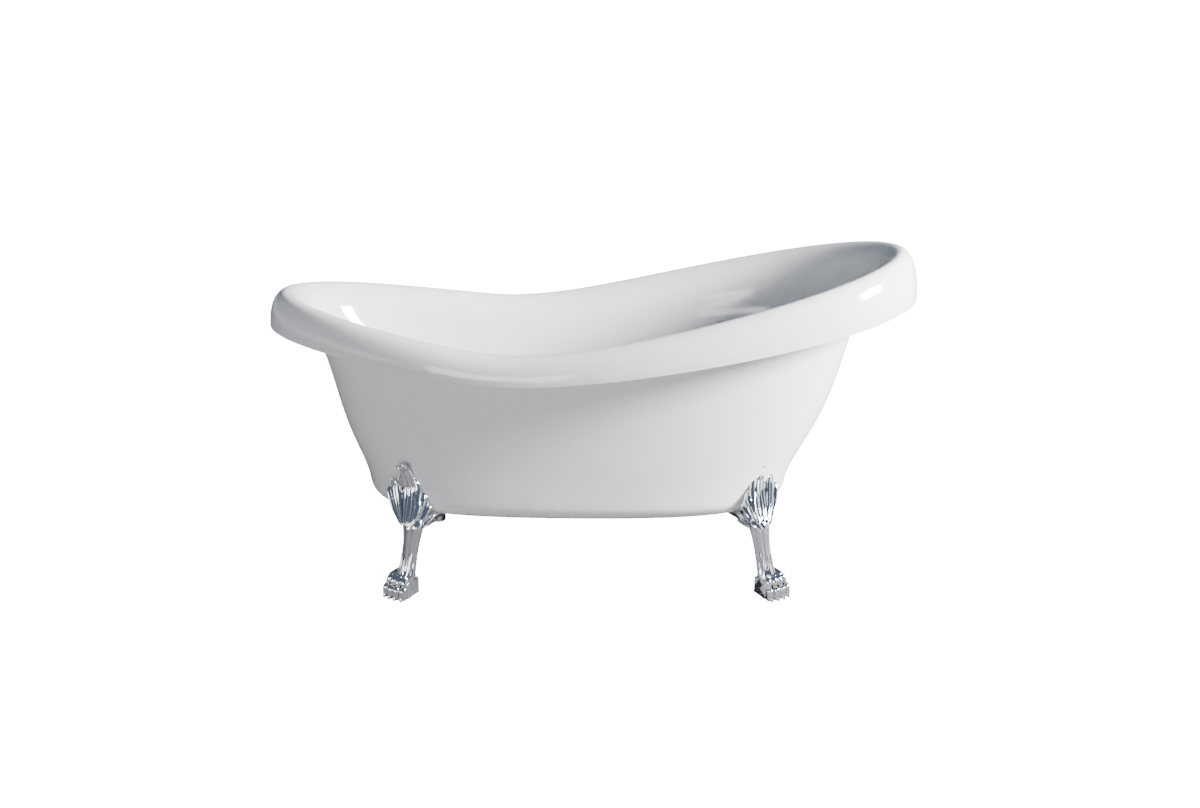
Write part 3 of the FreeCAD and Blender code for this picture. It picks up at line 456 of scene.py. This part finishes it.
# The bracket fans out behind the leaf, with folds along both sides.
FAN = ((-42, 156, 18, 18), (-56, 166, 36, 24), (-68, 176, 42, 29), (-74, 190, 38, 32),
       (-78, 206, 33, 31), (-80, 225, 26, 27), (-82, 245, 16, 19), (-84, 255, 8, 10))
bracket = [drawn_bar([(x, 0, z, deep, wide) for x, z, deep, wide in FAN], 24)]
carry_out(bracket[0], "SUBSURF", levels=1)
for side in (-1, 1):
    for end_x, end_y, end_z, thick in ((-94, 26, 172, 10), (-94, 26, 193, 12), (-84, 24, 221, 11),
                                       (-74, 17, 243, 8)):
        fold = []
        for share, swell in ((0, 0.4), (0.25, 0.8), (0.6, 1), (0.88, 0.95), (1, 0.35)):
            y = side * (12 + (end_y - 12) * math.sin(share * math.pi / 2))
            fold.append((-30 + (end_x + 30) * share, y, 162 + (end_z - 162) * share,
                         thick * swell, thick * swell))
        bracket.append(drawn_bar(fold, 12))
bracket = joined("bracket", bracket)

# The belly's outside, half a millimetre larger, is what the castings are cut with.
belly = skin.copy()
belly.data = belly.data.copy()
belly.parent = None
bpy.context.scene.collection.objects.link(belly)
alone(belly)
bpy.ops.object.mode_set(mode="EDIT")
bpy.ops.mesh.select_all(action="SELECT")
bpy.ops.mesh.remove_doubles(threshold=0.00002)
bpy.ops.mesh.select_all(action="DESELECT")
bpy.ops.mesh.select_mode(type="FACE")
mesh = bmesh.from_edit_mesh(belly.data)
for face in mesh.faces:
    middle = face.calc_center_median()
    inner = (middle - Vector((0, 0, 0.45))).dot(face.normal) < 0
    hole_wall = middle.z < 0.1832 and face.normal.z > -0.8
    face.select = inner or hole_wall
bmesh.update_edit_mesh(belly.data)
bpy.ops.mesh.delete(type="FACE")
bpy.ops.mesh.select_mode(type="VERT")
bpy.ops.mesh.select_all(action="SELECT")
bpy.ops.mesh.delete_loose()
bpy.ops.mesh.select_all(action="SELECT")
bpy.ops.mesh.fill_holes(sides=0)
bpy.ops.mesh.select_all(action="SELECT")
bpy.ops.mesh.quads_convert_to_tris()
bpy.ops.mesh.normals_make_consistent(inside=False)
bpy.ops.object.mode_set(mode="OBJECT")
carry_out(belly, "DISPLACE", strength=0.0005, mid_level=0.0)


def laid_on_belly(sheet, stand, side):
    """Bend the flat leaf so that its back lies on the belly and its root on the leg."""
    cage_data = bpy.data.lattices.new("cage")
    cage_data.points_u, cage_data.points_v, cage_data.points_w = 2, 5, 9
    for axis in ("u", "v", "w"):
        setattr(cage_data, "interpolation_type_" + axis, "KEY_CARDINAL")
    cage = bpy.data.objects.new("cage", cage_data)
    bpy.context.scene.collection.objects.link(cage)
    cage.location = (0.02, 0, 0.250)
    cage.scale = (0.06, 0.16, 0.18)
    bpy.context.view_layer.update()
    inwards = stand.to_3x3() @ Vector((-1, 0, 0))
    free, root, root_x = 0.250, 0.174, -0.016
    for point in cage_data.points:
        spot = cage.matrix_world @ point.co
        found, hit, normal, index = belly.ray_cast(stand @ Vector((0.3, spot.y, max(spot.z, free))),
                                                   inwards)
        back = (stand.inverted() @ hit).x
        share = max(0, (free - spot.z) / (free - root))
        point.co_deform.x += (back + (root_x - back) * share) / cage.scale.x
    bpy.context.view_layer.update()
    carry_out(sheet, "LATTICE", object=cage)
    bpy.data.objects.remove(cage)


for end, facing, hand in (("low", 240, 1), ("high", 300, -1)):
    pad_corners = nodes["leveller_pad_front_" + end].bound_box
    paw_x = (pad_corners[0][0] + pad_corners[6][0]) / 2
    paw_y = (pad_corners[0][1] + pad_corners[6][1]) / 2
    stand = Matrix.Translation((paw_x, paw_y, 0)) @ Matrix.Rotation(math.radians(facing), 4, "Z")
    copies = []
    for part in (paw, leaf, bracket):
        twin = part.copy()
        twin.data = part.data.copy()
        bpy.context.scene.collection.objects.link(twin)
        if hand < 0:
            twin.data.transform(Matrix.Scale(-1, 4, (0, 1, 0)))
            twin.data.flip_normals()
        copies.append(twin)
    laid_on_belly(copies[1], stand, hand)
    casting = joined("claw_foot_" + end, copies)
    casting.data.transform(stand)
    # The screw's bore and everything below the paw are cut away with the belly.
    bpy.ops.object.select_all(action="DESELECT")
    bpy.ops.mesh.primitive_cylinder_add(vertices=32, radius=0.09, depth=0.04,
                                        location=(paw_x, paw_y, -0.014))
    sole = bpy.context.object
    bpy.ops.object.transform_apply()
    bpy.ops.object.mode_set(mode="EDIT")
    bpy.ops.mesh.select_mode(type="FACE")
    pick(sole, lambda spot: spot.z > 0)
    bpy.ops.mesh.inset(thickness=0.09 - 0.00505)
    bpy.ops.mesh.extrude_region_move(TRANSFORM_OT_translate={"value": (0, 0, 0.036)})
    bpy.ops.mesh.select_mode(type="VERT")
    bpy.ops.object.mode_set(mode="OBJECT")
    form = belly.copy()
    form.data = belly.data.copy()
    bpy.context.scene.collection.objects.link(form)
    form = joined("form", [form, sole])
    carry_out(casting, "BOOLEAN", object=form, operation="DIFFERENCE", solver="EXACT",
              use_self=True)
    bpy.data.objects.remove(form)

    # The arm under the belly is a plain bar with a round end and two stud holes.
    bpy.ops.object.select_all(action="DESELECT")
    bpy.ops.mesh.primitive_cube_add(size=1, location=(-0.120, 0, 0.173), scale=(0.160, 0.044, 0.010))
    arm = bpy.context.object
    bpy.ops.object.transform_apply()
    bpy.ops.object.mode_set(mode="EDIT")
    pick(arm, lambda spot: spot.x < -0.15)
    mesh = bmesh.from_edit_mesh(arm.data)
    for edge in mesh.edges:
        edge.select = edge.select and abs(edge.verts[0].co.z - edge.verts[1].co.z) > 0.005
    bmesh.update_edit_mesh(arm.data)
    bpy.ops.mesh.bevel(offset=0.018, segments=8)
    bpy.ops.object.mode_set(mode="OBJECT")
    for reach in (0.158, 0.184):
        bpy.ops.object.select_all(action="DESELECT")
        bpy.ops.mesh.primitive_cylinder_add(vertices=32, radius=0.0044, depth=0.03,
                                            location=(-reach, 0, 0.173))
        drill = bpy.context.object
        carry_out(arm, "BOOLEAN", object=drill, operation="DIFFERENCE", solver="EXACT")
        bpy.data.objects.remove(drill)
    carry_out(arm, "BEVEL", width=0.0008, segments=2, limit_method="ANGLE")
    arm.data.transform(stand)
    casting = joined("claw_foot_" + end, [casting, arm])
    bpy.ops.object.shade_smooth_by_angle(angle=math.radians(45))
    for row in ("front", "back"):
        foot = casting if row == "front" else casting.copy()
        if row == "back":
            foot.data = casting.data.copy()
            bpy.context.scene.collection.objects.link(foot)
            foot.data.transform(Matrix.Scale(-1, 4, (0, 1, 0)))
            foot.data.flip_normals()
        foot.name = "foot_casting_" + row + "_" + end
        foot.data.materials.clear()
        foot.data.materials.append(foot_chrome)
        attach(foot, "tub")
        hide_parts("claw_foot_" + row + "_" + end)
for part in (paw, leaf, bracket, belly):
    bpy.data.objects.remove(part)


def dressed(finish, *names):
    """Give solids whose shape is right their finish."""
    for name in names:
        nodes[name].data.materials.clear()
        nodes[name].data.materials.append(finish)


CORNERS = ("front_low", "front_high", "back_low", "back_high")

# --- Bonding bead ---
# Thickened polyester resin, laid between the roll and the skin by hand. It is hidden in
# the finished tub, so it is left matt and straw coloured.
bonding_bead, tree, shader = new_finish("bonding_bead", ior=1.55)
lumps = effect(tree, wander, Scale=55.0)
strands = effect(tree, grain, Scale=420.0)
resin = blended(tree, lumps.outputs["Patches"], (0.62, 0.55, 0.38), (0.50, 0.42, 0.27))
feed(tree, shader, resin, between(tree, strands.outputs["Grain"], 0.45, 0.7),
     raised(tree, lumps.outputs["Waves"], 0.0015))
dressed(bonding_bead, "rim_bead")

# --- Base board ---
# Resin-coated chipboard bonded under the basin's floor: brown chips of wood under a thin
# glassy coat. The feet are screwed into it.
base_board, tree, shader = new_finish("base_board", ior=1.52)
chips = effect(tree, grain, Scale=160.0)
coat = effect(tree, wander, Scale=30.0)
chip_color = blended(tree, chips.outputs["Grain"], (0.36, 0.23, 0.12), (0.60, 0.45, 0.28))
feed(tree, shader, blended(tree, chips.outputs["Specks"], chip_color, (0.20, 0.12, 0.06)),
     between(tree, coat.outputs["Patches"], 0.28, 0.55),
     raised(tree, chips.outputs["Grain"], 0.0006))
dressed(base_board, "base_board")

# --- Foot plates, studs, washers and nuts ---
# Zinc-plated steel: a blueish grey metal with a fine crystal grain and duller patches.
zinc_steel, tree, shader = new_finish("zinc_steel", metallic=1.0)
crystals = effect(tree, grain, Scale=520.0)
passivated = effect(tree, wander, Scale=70.0)
zinc = blended(tree, passivated.outputs["Patches"], (0.60, 0.62, 0.64), (0.46, 0.47, 0.47))
feed(tree, shader, blended(tree, crystals.outputs["Specks"], zinc, (0.70, 0.71, 0.72)),
     between(tree, crystals.outputs["Grain"], 0.24, 0.48),
     raised(tree, crystals.outputs["Grain"], 0.00012))
dressed(zinc_steel, "foot_studs", "foot_washers", "foot_nuts")
for corner in CORNERS:
    dressed(zinc_steel, "foot_plate_" + corner, "leveller_screw_" + corner)

# --- Levelling pads ---
# Round feet of black nylon, moulded with a fine matt texture, scuffed where they stand.
pad_nylon, tree, shader = new_finish("pad_nylon", ior=1.53)
texture = effect(tree, grain, Scale=800.0)
scuffs = effect(tree, wander, Scale=90.0)
nylon = blended(tree, scuffs.outputs["Patches"], (0.020, 0.020, 0.021), (0.045, 0.044, 0.043))
feed(tree, shader, nylon, between(tree, texture.outputs["Grain"], 0.42, 0.66),
     raised(tree, texture.outputs["Grain"], 0.00015))
for corner in CORNERS:
    dressed(pad_nylon, "leveller_pad_" + corner)

# --- Waste and overflow trim ---
# Turned and pressed brass, chromium plated: the waste flange with its cross bars, the
# stopper cap, the tailpiece, and the overflow cover with its two screws.
drain_chrome, tree, shader = new_finish("drain_chrome", metallic=1.0)
polish = effect(tree, wander, Scale=60.0)
film = effect(tree, dust, Amount=0.22)
plating = blended(tree, polish.outputs["Patches"], (0.82, 0.83, 0.85), (0.74, 0.75, 0.78))
feed(tree, shader, blended(tree, film.outputs["Dust"], plating, (0.80, 0.80, 0.79)),
     between(tree, polish.outputs["Patches"], 0.04, 0.12),
     raised(tree, polish.outputs["Waves"], 0.0003, 0.3))
dressed(drain_chrome, "drain_flange", "drain_tailpiece", "stopper_cap", "overflow_cover",
        "overflow_screws")

# --- Waste body, slip nut and stopper post ---
# Cast and turned brass that stays bare under the tub, slightly browned where it was held.
drain_brass, tree, shader = new_finish("drain_brass", metallic=1.0)
browning = effect(tree, wander, Scale=45.0)
sand_cast = effect(tree, grain, Scale=380.0)
brass = blended(tree, browning.outputs["Patches"], (0.74, 0.56, 0.27), (0.50, 0.35, 0.16))
feed(tree, shader, blended(tree, sand_cast.outputs["Specks"], brass, (0.36, 0.25, 0.12)),
     between(tree, browning.outputs["Patches"], 0.20, 0.42),
     raised(tree, sand_cast.outputs["Grain"], 0.0002))
dressed(drain_brass, "drain_body", "drain_slip_nut", "stopper_post")

# --- Gaskets and stopper seal ---
# Black rubber with a dull bloom and a fine moulded grain.
rubber_seal, tree, shader = new_finish("rubber_seal", ior=1.52)
bloom = effect(tree, wander, Scale=110.0)
moulded = effect(tree, grain, Scale=650.0)
rubber = blended(tree, bloom.outputs["Patches"], (0.018, 0.018, 0.019), (0.055, 0.053, 0.050))
feed(tree, shader, rubber, between(tree, bloom.outputs["Patches"], 0.52, 0.78),
     raised(tree, moulded.outputs["Grain"], 0.0002))
dressed(rubber_seal, "drain_gasket", "overflow_gasket", "stopper_seal")

# --- Overflow duct and socket ---
# Grey moulded plastic, satin on its flat faces, glued together between the two walls.
duct_plastic, tree, shader = new_finish("duct_plastic", ior=1.54)
satin = effect(tree, grain, Scale=480.0)
shading = effect(tree, wander, Scale=35.0)
plastic = blended(tree, shading.outputs["Patches"], (0.42, 0.43, 0.44), (0.36, 0.37, 0.38))
feed(tree, shader, plastic, between(tree, satin.outputs["Grain"], 0.34, 0.5),
     raised(tree, satin.outputs["Grain"], 0.00012))
dressed(duct_plastic, "overflow_duct", "overflow_socket")

bpy.context.view_layer.update()
